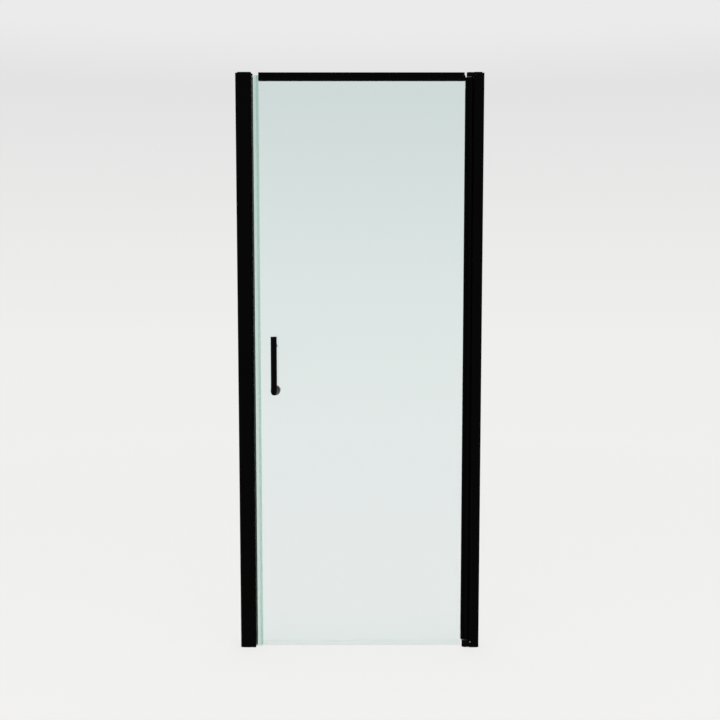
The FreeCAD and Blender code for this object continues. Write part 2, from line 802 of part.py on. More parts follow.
def top_rail():
    """The rail clamped over the glass: a hollow section with a groove along both faces."""
    low, high = "groove_z - groove_size", "groove_z + groove_size"
    waist = "(cheek_half - groove_size)"
    web = "rail_slot_top + rail_wall"
    section = [
        ("0 - cheek_half", "rail_bottom"),
        ("0 - slot_half", "rail_bottom"),
        ("0 - slot_half", "rail_slot_top"),
        ("slot_half", "rail_slot_top"),
        ("slot_half", "rail_bottom"),
        ("cheek_half", "rail_bottom"),
        ("cheek_half", low),
        (waist, "groove_z"),
        ("cheek_half", high),
        Corner("cheek_half", "overall_height", "rail_corner"),
        Corner("0 - cheek_half", "overall_height", "rail_corner"),
        ("0 - cheek_half", high),
        (f"0 - {waist}", "groove_z"),
        ("0 - cheek_half", low),
    ]
    chamber_half = "(cheek_half - rail_wall)"
    chamber = box(f"0 - {chamber_half}", chamber_half, web, "overall_height - rail_wall")
    start = "rail_left_x + rail_cap"
    length = f"(stile_edge_x - ({start}))"
    body = extrusion("top_rail", "YZ_Plane", [section, chamber], length, x=start)
    relief = new_sketch(body, "XZ_Plane")
    relief_start = f"{length} - rail_relief - rail_cap"
    draw(relief, box(relief_start, length, "groove_z", "overall_height"))
    pocket(body, relief, both=True)


def rail_cap(label, x, plug_side, from_z):
    """An end cap of the rail: a plate round the glass slot and a plug in the chamber."""
    body = new_body(label, x=x)
    plate = new_sketch(body, "YZ_Plane")
    outline = [
        ("0 - cheek_half", from_z),
        ("0 - slot_half", from_z),
        ("0 - slot_half", "rail_slot_top"),
        ("slot_half", "rail_slot_top"),
        ("slot_half", from_z),
        ("cheek_half", from_z),
        Corner("cheek_half", "overall_height", "rail_corner"),
        Corner("0 - cheek_half", "overall_height", "rail_corner"),
    ]
    draw(plate, outline)
    pad(body, plate, "rail_cap")
    plug = new_sketch(body, "YZ_Plane")
    half = "(cheek_half - rail_wall - plug_gap)"
    low, high = "rail_slot_top + rail_wall + plug_gap", "overall_height - rail_wall - plug_gap"
    draw(plug, box(f"0 - {half}", half, low, high))
    pad(body, plug, "rail_cap + rail_plug" if plug_side > 0 else "rail_plug", down=plug_side < 0)


def rail_gasket():
    """The U-shaped rubber between the glass and the rail."""
    section = [
        ("0 - slot_half", "rail_bottom"),
        ("0 - glass_half", "rail_bottom"),
        ("0 - glass_half", "glass_top"),
        ("glass_half", "glass_top"),
        ("glass_half", "rail_bottom"),
        ("slot_half", "rail_bottom"),
        ("slot_half", "rail_slot_top"),
        ("0 - slot_half", "rail_slot_top"),
    ]
    extrusion("rail_gasket", "YZ_Plane", [section], "glass_notch_x - rail_left_x - rail_cap",
              x="rail_left_x + rail_cap")


def closing_seal():
    """The clear seal on the free edge: legs on the glass, a hollow chamber and a magnet pocket."""
    half, leg_x = "seal_half", "glass_left_x + seal_leg"
    chamber_x = "seal_end_x + seal_pocket_width"
    outline = [
        (leg_x, f"0 - {half}"),
        Corner("seal_end_x", f"0 - {half}", "pocket_wall"),
        Corner("seal_end_x", "pocket_rear_y", "pocket_wall"),
        (chamber_x, "pocket_rear_y"),
        (chamber_x, half),
        (leg_x, half),
        (leg_x, "glass_half"),
        ("glass_left_x", "glass_half"),
        ("glass_left_x", "0 - glass_half"),
        (leg_x, "0 - glass_half"),
    ]
    inside = "(seal_half - seal_wall)"
    chamber = box(f"{chamber_x} + seal_wall", "glass_left_x - seal_wall", f"0 - {inside}", inside)
    magnet = box("seal_end_x + pocket_wall", f"{chamber_x} - pocket_wall", "pocket_wall - seal_half",
                 "pocket_rear_y - pocket_wall")
    length = "glass_top + seal_top_rise - seal_bottom"
    extrusion("closing_seal", "XY_Plane", [outline, chamber, magnet], length, z="seal_bottom")
    extrusion("seal_magnet", "XY_Plane", [magnet], f"{length} - 2 * strip_end", z="seal_bottom + strip_end")


def drip_seal():
    """The clear seal under the glass, with a fin that hangs over the tray."""
    web = "glass_bottom - seal_wall"
    top = f"{web} + drip_leg"
    outline = [
        ("0 - seal_half", top),
        ("0 - seal_half", web),
        ("0", web),
        ("drip_lean", "drip_gap"),
        ("drip_lean + drip_fin", "drip_gap"),
        ("drip_fin", web),
        ("seal_half", web),
        ("seal_half", top),
        ("glass_half", top),
        ("glass_half", "glass_bottom"),
        ("0 - glass_half", "glass_bottom"),
        ("0 - glass_half", top),
    ]
    start = "glass_left_x + seal_leg + edge_gap"
    extrusion("drip_seal", "YZ_Plane", [outline], f"glass_notch_x - drip_end_gap - ({start})", x=start)


def handle_bar():
    """The round pull bar, flat at the top and domed at the foot, threaded for its two bolts."""
    radius, rise = "bar_diameter / 2", "(handle_spacing + bar_top_reach)"
    nodes = [
        ("0", "0 - bar_bottom_reach"),
        Arc(radius, f"{radius} - bar_bottom_reach", radius, 1),
        (radius, f"{rise} - bar_chamfer"),
        (f"{radius} - bar_chamfer", rise),
        ("0", rise),
    ]
    body = turned("handle_bar", nodes, "handle_x", "bar_y", "handle_height")
    threads = new_sketch(body, "XZ_Plane")
    circle(threads, "0", "0", "stud_diameter")
    circle(threads, "0", "handle_spacing", "stud_diameter")
    pocket(body, threads, radius)


def handle_post(label, height):
    """A standoff from the glass to the bar, its end hollowed to sit on the bar."""
    body = new_body(label, "handle_x", "0", height)
    sketch = new_sketch(body, "XZ_Plane")
    circle(sketch, "0", "0", "handle_post")
    pad(body, sketch, "glass_half + handle_standoff")
    clear = new_sketch(body, "XZ_Plane")
    circle(clear, "0", "0", "stud_diameter + 2 * stud_clearance")
    pocket(body, clear, both=True)
    foot = new_sketch(body, "YZ_Plane")
    side = "handle_post"
    draw(foot, box("0 - glass_half - handle_gasket", side, f"0 - {side}", side))
    pocket(body, foot, both=True)
    saddle = new_sketch(body, "XY_Plane")
    circle(saddle, "0", "bar_y", "bar_diameter")
    pocket(body, saddle, both=True)


def handle_fixings():
    """Gaskets, sleeves and fixings that clamp the handle through the glass from inside."""
    bore = "stud_diameter + 2 * stud_clearance"
    front_y, rear_y = "0 - glass_half - handle_gasket", "glass_half"
    sleeve_outer = "glass_hole - 2 * strip_gap"
    for name, height in (("lower", "handle_height"), ("upper", "upper_post_z")):
        for part, outer, length, y in (
            ("front_gasket", "handle_post", "handle_gasket", front_y),
            ("sleeve", sleeve_outer, "glass_thickness", "0 - glass_half"),
            ("rear_gasket", "knob_neck" if name == "lower" else "button_diameter", "handle_gasket", rear_y),
        ):
            facing = turned_ring(f"handle_{name}_{part}", outer, bore, length)
            place(facing, "handle_x", y, height)


def turned_ring(label, outer, bore, length):
    nodes = [
        (f"({bore}) / 2", "0"),
        (f"({outer}) / 2", "0"),
        (f"({outer}) / 2", length),
        (f"({bore}) / 2", length),
    ]
    return turned(label, nodes, "0", "0", "0", FACING_REAR)


def place(body, x, y, z):
    for axis, at in (("x", x), ("y", f"glass_y + {y}"), ("z", z)):
        body.setExpression(f"Placement.Base.{axis}", bound(at))


def inside_knob():
    """The round knob inside the shower, blind-threaded for the lower stud."""
    radius, neck = "knob_diameter / 2", "knob_neck / 2"
    nodes = [
        ("stud_diameter / 2", "0"),
        (neck, "0"),
        (neck, "knob_neck_length"),
        (radius, "knob_neck_length"),
        (radius, "knob_depth - knob_edge"),
        (f"{radius} - knob_edge", "knob_depth"),
        ("0", "knob_depth"),
        ("0", "knob_thread_depth"),
        ("stud_diameter / 2", "knob_thread_depth"),
    ]
    turned("inside_knob", nodes, "handle_x", "glass_half + handle_gasket", "handle_height", FACING_REAR)


def handle_bolts():
    """The lower stud, into the knob and the bar, and the upper bolt with its low head."""
    into_bar = "(glass_half + handle_standoff - bar_diameter / 2 + bar_thread_depth)"
    stud = [
        ("0", f"0 - {into_bar}"),
        ("stud_diameter / 2", f"0 - {into_bar}"),
        ("stud_diameter / 2", "glass_half + handle_gasket + knob_thread_depth"),
        ("0", "glass_half + handle_gasket + knob_thread_depth"),
    ]
    turned("handle_lower_stud", stud, "handle_x", "0", "handle_height", FACING_REAR)
    seat = "glass_half + handle_gasket"
    bolt = [
        ("0", f"0 - {into_bar}"),
        ("stud_diameter / 2", f"0 - {into_bar}"),
        ("stud_diameter / 2", seat),
        ("button_diameter / 2", seat),
        ("button_diameter / 2", f"{seat} + button_height - button_edge"),
        ("button_diameter / 2 - button_edge", f"{seat} + button_height"),
        ("0", f"{seat} + button_height"),
    ]
    turned("handle_upper_bolt", bolt, "handle_x", "0", "upper_post_z", FACING_REAR)


def build():
    wall_channel("left_wall_channel", -1, "foot_height", "cap_height")
    wall_channel("right_wall_channel", 1, "bottom_plate", "top_plate")
    strike_post()
    hinge_post()
    post_end("strike_post_cap", "cap_height", True)
    post_end("strike_post_foot", "foot_height", False)
    strike_strip()
    hinge_fin()
    bracket("bottom_bracket", False, "bottom_plate", "bottom_lug_height")
    bracket("top_bracket", True, "top_plate", "top_lug_height")
    pivot_pin("bottom_pivot_pin", "pin_recess", None, "bottom_lug_height")
    pivot_pin("top_pivot_pin", "overall_height - pin_recess", UPSIDE_DOWN, "top_lug_height")
    lock_screw("bottom_lock_screw", "lock_low")
    lock_screw("top_lock_screw", "lock_high")
    top = "overall_height"
    plate_screws("strike_foot_screws", -1, "strike_face_x", "front_port_y", "0", None, "foot_height", 2)
    plate_screws("strike_cap_screws", -1, "strike_face_x", "rear_port_y", top, UPSIDE_DOWN, "cap_height", 2)
    plate_screws("bottom_bracket_screw", 1, "hinge_face_x", "rear_port_y", "0", None, "bottom_plate", 1)
    plate_screws("top_bracket_screw", 1, "hinge_face_x", "rear_port_y", top, UPSIDE_DOWN, "top_plate", 1)
    for name, side in (("left", -1), ("right", 1)):
        post_screws(f"{name}_post_screws", side)
        screw_covers(f"{name}_screw_covers", side)
    glass()
    stile()
    low_washer, high_washer = "bottom_lug_height + thrust_gap", "stile_top"
    pivot_parts("bottom", "stile_bottom", "stile_bottom", low_washer, "block_screw_height")
    pivot_parts("top", "stile_top - block_length", "stile_top - bush_length", high_washer,
                "block_length - block_screw_height")
    stile_gasket()
    top_rail()
    rail_cap("left_rail_cap", "rail_left_x", 1, "rail_bottom")
    rail_cap("right_rail_cap", "stile_edge_x - rail_relief - rail_cap", -1, "groove_z")
    rail_gasket()
    closing_seal()
    drip_seal()
    handle_bar()
    handle_post("handle_lower_post", "handle_height")
    handle_post("handle_upper_post", "upper_post_z")
    handle_fixings()
    inside_knob()
    handle_bolts()


def check_and_write():
    """Stops on any failed object or shape, then writes one file per sub-part."""
    doc.recompute()
    for item in doc.Objects:
        if "Invalid" in item.State or "Error" in item.State:
            raise RuntimeError(f"{item.Label} failed: {item.State}")
    os.makedirs("parts", exist_ok=True)
    for body in sub_parts:
        shape = body.Shape
        if shape.isNull() or not shape.isValid():
            raise RuntimeError(f"{body.Label} has no valid shape")
        shape.exportStep(os.path.join("parts", body.Label + ".step"))
        print(body.Label, len(shape.Solids), round(shape.Volume, 1))


build()
check_and_write()
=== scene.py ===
import math

import bmesh
import bpy
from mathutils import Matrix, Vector


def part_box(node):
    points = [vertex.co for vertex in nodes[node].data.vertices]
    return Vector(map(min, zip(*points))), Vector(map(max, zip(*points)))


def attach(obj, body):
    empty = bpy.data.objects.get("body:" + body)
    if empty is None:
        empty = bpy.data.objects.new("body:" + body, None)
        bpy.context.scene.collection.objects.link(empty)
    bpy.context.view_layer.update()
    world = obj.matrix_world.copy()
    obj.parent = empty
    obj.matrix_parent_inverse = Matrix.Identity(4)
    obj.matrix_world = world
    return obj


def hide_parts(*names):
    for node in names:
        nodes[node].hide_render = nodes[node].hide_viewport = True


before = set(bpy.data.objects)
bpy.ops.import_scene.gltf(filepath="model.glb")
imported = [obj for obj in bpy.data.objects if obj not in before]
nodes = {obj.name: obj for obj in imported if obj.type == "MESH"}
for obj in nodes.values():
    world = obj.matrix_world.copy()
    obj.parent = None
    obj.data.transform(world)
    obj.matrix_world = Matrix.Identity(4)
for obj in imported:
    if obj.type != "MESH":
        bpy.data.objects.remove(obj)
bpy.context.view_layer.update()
scene = bpy.context.scene


# ---------------------------------------------------------------- shader tools

class Wire:
    """An output socket. Arithmetic written on it adds Math nodes."""

    def __init__(self, finish, socket):
        self.finish = finish
        self.socket = socket

    def maths(self, operation, first, second=0.0):
        return self.finish.add("ShaderNodeMath", {"operation": operation}, {0: first, 1: second})

    def __add__(self, other):
        return self.maths("ADD", self, other)

    def __sub__(self, other):
        return self.maths("SUBTRACT", self, other)

    def __rsub__(self, other):
        return self.maths("SUBTRACT", other, self)

    def __mul__(self, other):
        return self.maths("MULTIPLY", self, other)

    def __truediv__(self, other):
        return self.maths("DIVIDE", self, other)

    def __pow__(self, other):
        return self.maths("POWER", self, other)

    def __gt__(self, other):
        return self.maths("GREATER_THAN", self, other)

    def __lt__(self, other):
        return self.maths("LESS_THAN", self, other)

    def __abs__(self):
        return self.maths("ABSOLUTE", self)

    __radd__ = __add__
    __rmul__ = __mul__


class Finish:
    """The node material of one of the door's surfaces, or the room's light."""

    def __init__(self, name, owner=None):
        self.owner = owner or bpy.data.materials.new(name)
        self.owner.use_nodes = True
        self.tree = self.owner.node_tree
        self.tree.nodes.clear()

    def add(self, kind, settings=None, sockets=None, output=0):
        """Adds a node: its settings first, then the values or wires of its sockets."""
        node = self.tree.nodes.new(kind)
        for name, setting in (settings or {}).items():
            if name == "stops":
                elements = node.color_ramp.elements
                while len(elements) < len(setting):
                    elements.new(0.5)
                for element, (at, colour) in zip(elements, setting):
                    element.position = at
                    element.color = colour
            else:
                setattr(node, name, setting)
        for name, given in (sockets or {}).items():
            if isinstance(given, Wire):
                self.tree.links.new(given.socket, node.inputs[name])
            else:
                node.inputs[name].default_value = given
        return Wire(self, node.outputs[output]) if node.outputs else None

    def place(self, stretch=(1.0, 1.0, 1.0)):
        """The point in the door's own frame, in metres, stretched along its axes."""
        point = self.add("ShaderNodeTexCoord", output="Object")
        return self.add("ShaderNodeVectorMath", {"operation": "MULTIPLY"}, {0: point, 1: stretch})

    def axis(self, vector, name):
        return self.add("ShaderNodeSeparateXYZ", None, {0: vector}, name)

    def facing(self, name):
        """The surface's own direction along X, Y or Z."""
        return self.axis(self.add("ShaderNodeTexCoord", output="Normal"), name)

    def glance(self):
        """0 where the surface faces the eye, 1 where it is seen edge on."""
        return self.add("ShaderNodeLayerWeight", None, {"Blend": 0.5}, "Facing")

    def flat_sheen(self, strength):
        """Sheen that a flat side shows from a slant. Rounds, and what faces the eye, stay black."""
        flat = sum(abs(self.facing(name)) > 0.99 for name in "XYZ")
        slant = self.ramp(self.glance(), (0.08, 0), (0.3, strength), (0.6, strength * 0.8), (0.85, 0))
        return flat * slant

    def noise(self, stretch, detail=2.0, roughness=0.5):
        """Grain or cloud: the larger the stretch, the finer it is along that axis."""
        return self.add("ShaderNodeTexNoise", None, {
            "Vector": self.place(stretch), "Scale": 1.0, "Detail": detail, "Roughness": roughness})

    def ramp(self, value, *stops):
        """A value turned into a tone, from stops of (value, tone)."""
        tones = [(at, grey(tone)) for at, tone in stops]
        return self.add("ShaderNodeValToRGB", {"stops": tones}, {0: value})

    def mix(self, fraction, first, second):
        return self.add("ShaderNodeMix", {"data_type": "RGBA"}, {0: fraction, 6: first, 7: second}, 2)

    def bump(self, height, strength, depth):
        return self.add("ShaderNodeBump", None, {"Height": height, "Strength": strength, "Distance": depth})

    def blend(self, fraction, first, second):
        """Two shaders mixed."""
        return self.add("ShaderNodeMixShader", None, {0: fraction, 1: first, 2: second})

    def tinted(self, red, green, blue):
        """Light let through with a tint."""
        return self.add("ShaderNodeBsdfTransparent", None, {"Color": (red, green, blue, 1)})

    def solid(self, **sockets):
        """A Principled surface; an underscore in a socket's name stands for a space."""
        return self.add("ShaderNodeBsdfPrincipled", None,
                        {name.replace("_", " "): given for name, given in sockets.items()})

    def finished(self, surface):
        self.add("ShaderNodeOutputMaterial", None, {"Surface": surface})
        return self.owner


def grey(tone, red=1.0, green=1.0, blue=1.0):
    return (tone * red, tone * green, tone * blue, 1.0)


# ---------------------------------------------------------------- finishes

DOOR_HEIGHT = 1.9
LOWER_EDGE_Z = 0.1  # only the lower edge of the glass is level and below this
POCKET_X = -0.3434  # the magnet's pocket lies beyond this, towards the strike post
GRIP_X = -0.3362  # from here the closing seal's legs lie on the glass
FIN_TOP_Z = 0.0107  # the drip seal's fin hangs below this

# die lines: fine across an extrusion, drawn out along it
UPRIGHT_LINES = (1200.0, 1200.0, 1.5)
LEVEL_LINES = (1.5, 1200.0, 1200.0)


def powder_coat(name, tone, die_lines, gloss=0.02):
    """Satin black powder over an extrusion: orange peel, with the die lines just visible beneath."""
    finish = Finish(name)
    peel = finish.noise((900, 900, 900), 3.0)
    cloud = finish.noise((9, 9, 4), 3.0)
    lines = finish.noise(die_lines, 2.0)
    surface = finish.solid(
        Base_Color=finish.mix(cloud, grey(tone * 0.8, green=1.06), grey(tone * 1.25, red=1.03)),
        Roughness=0.34 + 0.12 * cloud + 0.06 * lines,
        Specular_IOR_Level=gloss,
        Coat_Weight=finish.flat_sheen(0.9),
        Coat_Roughness=0.3,
        Normal=finish.bump(peel + 0.5 * lines, 0.35, 0.00004))
    return finish.finished(surface)


def black_casting(name, tone, gloss):
    """Painted zinc casting: a slightly sandy skin that is thicker in places."""
    finish = Finish(name)
    sand = finish.noise((1500, 1500, 1500), 4.0, 0.6)
    patches = finish.noise((60, 60, 60), 2.0)
    surface = finish.solid(
        Base_Color=finish.mix(patches, grey(tone * 0.75), grey(tone * 1.4)),
        Roughness=0.42 + 0.16 * patches,
        Specular_IOR_Level=gloss,
        Coat_Weight=finish.flat_sheen(0.8),
        Coat_Roughness=0.4,
        Normal=finish.bump(sand, 0.5, 0.00006))
    return finish.finished(surface)


def black_lacquer(name, tone, polishing, gloss):
    """Electro-lacquered brass: smooth and satin, with the polishing lines just visible beneath."""
    finish = Finish(name)
    lines = finish.noise(polishing, 3.0)
    smears = finish.noise((35, 35, 14), 4.0, 0.6)
    surface = finish.solid(
        Base_Color=finish.mix(smears, grey(tone * 0.8), grey(tone * 1.5)),
        Roughness=0.24 + 0.12 * smears + 0.05 * lines,
        Specular_IOR_Level=gloss,
        Normal=finish.bump(lines, 0.12, 0.00002))
    return finish.finished(surface)


def moulded_plastic(name, tone, gloss):
    """Spark-eroded black moulding."""
    finish = Finish(name)
    cells = finish.add("ShaderNodeTexVoronoi", None, {"Vector": finish.place(), "Scale": 2200.0})
    flow = finish.noise((40, 40, 16), 3.0)
    surface = finish.solid(
        Base_Color=finish.mix(flow, grey(tone * 0.85), grey(tone * 1.3)),
        Roughness=0.5 + 0.14 * flow,
        Specular_IOR_Level=gloss,
        Normal=finish.bump(cells, 0.4, 0.00005))
    return finish.finished(surface)


def rubber(name, tone):
    """Extruded rubber with a dusty bloom and fine lines along it."""
    finish = Finish(name)
    lines = finish.noise((1600, 1600, 6), 2.0)
    bloom = finish.noise((22, 22, 9), 4.0, 0.65)
    surface = finish.solid(
        Base_Color=finish.mix(bloom ** 2.0, grey(tone), grey(tone * 2.6)),
        Roughness=0.72 + 0.2 * bloom,
        Specular_IOR_Level=0.06,
        Normal=finish.bump(lines, 0.4, 0.00005))
    return finish.finished(surface)


def magnet(name):
    """Extruded magnet strip: dense, dark and slightly green through its clear pocket."""
    finish = Finish(name)
    lines = finish.noise((1400, 1400, 3), 3.0)
    patches = finish.noise((70, 70, 12), 2.0)
    surface = finish.solid(
        Base_Color=finish.mix(patches, (0.0006, 0.0016, 0.0011, 1), (0.0012, 0.0034, 0.0024, 1)),
        Roughness=0.55 + 0.2 * lines,
        Specular_IOR_Level=0.05,
        Normal=finish.bump(lines, 0.4, 0.00004))
    return finish.finished(surface)


def nylon(name, tone):
    """Natural nylon moulding: off-white, or darkened to grey at a low tone, a little waxy, with flow marks.
    """
    finish = Finish(name)
    flow = finish.noise((90, 90, 30), 4.0, 0.6)
    grain = finish.noise((2600, 2600, 2600), 2.0)
    surface = finish.solid(
        Base_Color=finish.mix(flow, grey(tone * 0.8, blue=0.91), grey(tone, blue=0.93)),
        Roughness=0.38 + 0.14 * flow,
        Specular_IOR_Level=0.4,
        Normal=finish.bump(grain, 0.3, 0.00003))
    return finish.finished(surface)


def stainless(name):
    """Turned stainless steel: fine rings round its axis and slight differences of polish."""
    finish = Finish(name)
    rings = finish.noise((60, 60, 7000), 2.0)
    polish = finish.noise((500, 500, 500), 3.0)
    surface = finish.solid(
        Base_Color=finish.mix(polish, grey(0.5), grey(0.68, blue=0.98)),
        Roughness=0.22 + 0.1 * polish + 0.08 * rings,
        Metallic=1.0,
        Normal=finish.bump(rings, 0.3, 0.00003))
    return finish.finished(surface)


def black_steel(name):
    """Black zinc-plated screws, rubbed a little where the driver has been."""
    finish = Finish(name)
    rub = finish.noise((900, 900, 900), 3.0, 0.6)
    surface = finish.solid(
        Base_Color=finish.mix(finish.ramp(rub, (0.55, 0), (0.8, 1)), grey(0.006), grey(0.03)),
        Roughness=0.36 + 0.2 * rub,
        Specular_IOR_Level=0.14,
        Normal=finish.bump(rub, 0.25, 0.00003))
    return finish.finished(surface)


def see_through(finish, clear, haze_tone, haze, sheen, roughness, normal):
    """A clear surface: what lies behind it, a thin haze, and gloss that grows as it is seen edge on."""
    film = finish.solid(Base_Color=haze_tone, Roughness=0.6, Specular_IOR_Level=0.1)
    body = finish.blend(haze, clear, film)
    shine = finish.add("ShaderNodeBsdfAnisotropic", None,
                       {"Color": (1, 1, 1, 1), "Roughness": roughness, "Normal": normal})
    gloss = 0.04 + 0.96 * finish.glance() ** 5.0
    return finish.blend(gloss * sheen, body, shine)


def toughened_glass(name):
    """6 mm glass: a thin water haze, green ground edges, and painted shade: a deeper tint higher up and at
    the foot.

    The lower edge lies wet in the seal under it, so it hardly shows.
    """
    finish = Finish(name)
    height = finish.axis(finish.place(), "Z")
    ripple = finish.noise((6, 6, 4), 2.0)
    runs = finish.noise((70, 70, 1.6), 3.0, 0.6)
    # Painted shade: the tint deepens towards the top of the pane and at its foot, and the haze thins where
    # it deepens.
    rise = finish.ramp(height / DOOR_HEIGHT, (0.012, 0.4), (0.07, 0), (0.15, 0), (0.95, 1))
    haze = (0.022 - 0.018 * rise) * (0.7 + 0.6 * runs)
    clear = finish.blend(rise, finish.tinted(0.947, 0.97, 0.972), finish.tinted(0.895, 0.953, 0.948))
    faces = see_through(
        finish, clear, grey(0.85, green=1.02, blue=1.02), haze,
        0.8, 0.02, finish.bump(ripple, 0.02, 0.001))
    grit = finish.noise((700, 700, 700), 2.0)
    ground = see_through(
        finish, finish.tinted(0.42, 0.66, 0.56), (0.2, 0.5, 0.38, 1), 0.35 + 0.25 * grit,
        0.6, 0.25, finish.bump(grit, 0.3, 0.0001))
    lower_edge = (abs(finish.facing("Z")) > 0.5) * (height < LOWER_EDGE_Z)
    edges = finish.blend(lower_edge, ground, finish.tinted(0.97, 0.985, 0.98))
    return finish.finished(finish.blend(abs(finish.facing("Y")) < 0.5, faces, edges))


def drip_vinyl(name):
    """The seal under the glass: its legs all but vanish on the glass, its fin is as grey as the glass."""
    finish = Finish(name)
    lines = finish.noise((2, 1200, 1200), 2.0)
    fin = (finish.axis(finish.place(), "Z") < FIN_TOP_Z) * (abs(finish.facing("Y")) > 0.5)
    clear = finish.blend(fin, finish.tinted(0.99, 0.995, 0.993), finish.tinted(0.92, 0.944, 0.942))
    milk = 0.006 + 0.008 * lines + 0.01 * fin
    surface = see_through(
        finish, clear, (0.70, 0.76, 0.74, 1), milk,
        0.5, 0.12, finish.bump(lines, 0.3, 0.00008))
    return finish.finished(surface)


def sleeve_vinyl(name):
    """The rings and sleeves that keep the handle's metal off the glass: milky, turned rather than drawn."""
    finish = Finish(name)
    cloud = finish.noise((900, 900, 900), 3.0)
    surface = see_through(
        finish, finish.tinted(0.85, 0.9, 0.88), (0.6, 0.66, 0.64, 1), 0.15 + 0.1 * cloud,
        0.7, 0.12, finish.bump(cloud, 0.3, 0.00008))
    return finish.finished(surface)


def closing_vinyl(name):
    """The closing seal: milky round the magnet's pocket, clear over the chamber, greener on the glass."""
    finish = Finish(name)
    across = finish.axis(finish.place(), "X")
    lines = finish.noise((1200, 1200, 2), 2.0)
    cloud = finish.noise((30, 30, 5), 3.0)
    grip = across > GRIP_X
    pocket = across < POCKET_X
    clear = finish.blend(grip, finish.tinted(0.91, 0.955, 0.938), finish.tinted(0.85, 0.92, 0.893))
    milk = (0.03 + 0.05 * pocket) * (0.75 + 0.3 * lines + 0.2 * cloud)
    surface = see_through(
        finish, clear, (0.40, 0.66, 0.56, 1), milk,
        0.7, 0.12, finish.bump(lines, 0.3, 0.00008))
    return finish.finished(surface)


post_black = powder_coat("post_powder_coat", 0.0010, UPRIGHT_LINES)
channel_black = powder_coat("channel_powder_coat", 0.0012, UPRIGHT_LINES, 0.03)
stile_black = powder_coat("stile_powder_coat", 0.0009, UPRIGHT_LINES)
rail_black = powder_coat("rail_powder_coat", 0.0010, LEVEL_LINES)
strip_black = moulded_plastic("strike_strip_black", 0.0009, 0.02)
bracket_black = black_casting("bracket_black_zinc", 0.0014, 0.03)
cap_black = moulded_plastic("cap_black_plastic", 0.0013, 0.03)
cover_black = moulded_plastic("cover_black_plastic", 0.012, 0.3)
gasket_black = rubber("gasket_black_rubber", 0.0016)
bar_black = black_lacquer("handle_black_lacquer", 0.0007, (1500, 1500, 12), 0.03)
# Painted reflection: the knob and the upper bolt's head, behind the glass, get a grey far lighter than the
# bar's black, standing for the glass's reflection over them.
knob_painted_reflection = black_lacquer("knob_lacquer_painted_reflection", 0.032, (200, 2600, 200), 0.4)
magnet_dark = magnet("magnet_strip")
nylon_white = nylon("natural_nylon", 0.78)
# The thrust washers' nylon is darkened from off-white to a dark grey.
nylon_darkened = nylon("darkened_nylon", 0.2)
steel_bright = stainless("stainless_steel")
screw_black = black_steel("screw_black_steel")
glass_clear = toughened_glass("toughened_glass")
closing_clear = closing_vinyl("closing_seal_vinyl")
drip_clear = drip_vinyl("drip_seal_vinyl")
sleeve_clear = sleeve_vinyl("sleeve_vinyl")

FINISH_OF = {
    post_black: ("strike_post", "hinge_post"),
    channel_black: ("left_wall_channel", "right_wall_channel"),
    stile_black: ("hinge_stile",),
    rail_black: ("top_rail",),
    strip_black: ("strike_strip",),
    bracket_black: ("bottom_bracket", "top_bracket"),
    cap_black: ("strike_post_cap", "strike_post_foot", "left_rail_cap", "right_rail_cap"),
    cover_black: ("left_screw_covers", "right_screw_covers"),
    gasket_black: ("hinge_fin_seal", "stile_gasket", "rail_gasket"),
    bar_black: ("handle_bar", "handle_lower_post", "handle_upper_post"),
    knob_painted_reflection: ("inside_knob", "handle_upper_bolt"),
    magnet_dark: ("seal_magnet", "strike_magnet"),
    nylon_white: ("bottom_pivot_block", "top_pivot_block", "bottom_pivot_bush", "top_pivot_bush"),
    nylon_darkened: ("bottom_thrust_washer", "top_thrust_washer"),
    steel_bright: (
        "bottom_pivot_pin", "top_pivot_pin", "bottom_lock_screw", "strike_foot_screws",
        "strike_cap_screws", "bottom_bracket_screw", "top_bracket_screw", "left_post_screws",
        "right_post_screws", "handle_lower_stud"),
    screw_black: ("top_lock_screw", "bottom_block_screw", "top_block_screw"),
    glass_clear: ("glass_panel",),
    closing_clear: ("closing_seal",),
    drip_clear: ("drip_seal",),
    sleeve_clear: (
        "handle_lower_sleeve", "handle_upper_sleeve", "handle_lower_front_gasket",
        "handle_upper_front_gasket", "handle_lower_rear_gasket", "handle_upper_rear_gasket"),
}


def give(piece, material):
    piece.data.materials.clear()
    piece.data.materials.append(material)


for material, names in FINISH_OF.items():
    for name in names:
        give(nodes[name], material)


# ---------------------------------------------------------------- screws with a driver's socket

SCREW_SIDES = 48

BOLT_SOCKET = 0.002  # half the hexagon's width across its flats
BOLT_SOCKET_DEPTH = 0.0018
BOLT_SHANK = 0.003
BOLT_HEAD_DEPTH = 0.003
BOLT_EDGE = 0.001  # the rounding of the head's edge
BOLT_EDGE_TURNS = (0.5, 1.0, math.pi / 2)

PLATE_SCREW_SOCKET = 0.0014  # the mean radius of the six lobes
LOBE_DEPTH = 0.14
PLATE_SCREW_SOCKET_DEPTH = 0.0012
PLATE_SCREW_SHANK = 0.0017
PLATE_SCREW_HEAD_DEPTH = 0.002
PLATE_SCREW_BEVEL = 0.0003


def hexagon(turn):
    """How far the bolt's socket reaches from its middle in one direction."""
    sixth = math.pi / 3
    return BOLT_SOCKET / math.cos((turn + sixth / 2) % sixth - sixth / 2)


def six_lobes(turn):
    """How far a plate screw's socket reaches from its middle in one direction."""
    return PLATE_SCREW_SOCKET * (1 + LOBE_DEPTH * math.cos(6 * turn))


def ring(shape, middle, across, upward, reach):
    """Points round a screw. The reach is a radius, or gives one for each direction."""
    points = []
    for side in range(SCREW_SIDES):
        turn = 2 * math.pi * side / SCREW_SIDES
        radius = reach(turn) if callable(reach) else reach
        spoke = across * math.cos(turn) + upward * math.sin(turn)
        points.append(shape.verts.new(middle + spoke * radius))
    return points


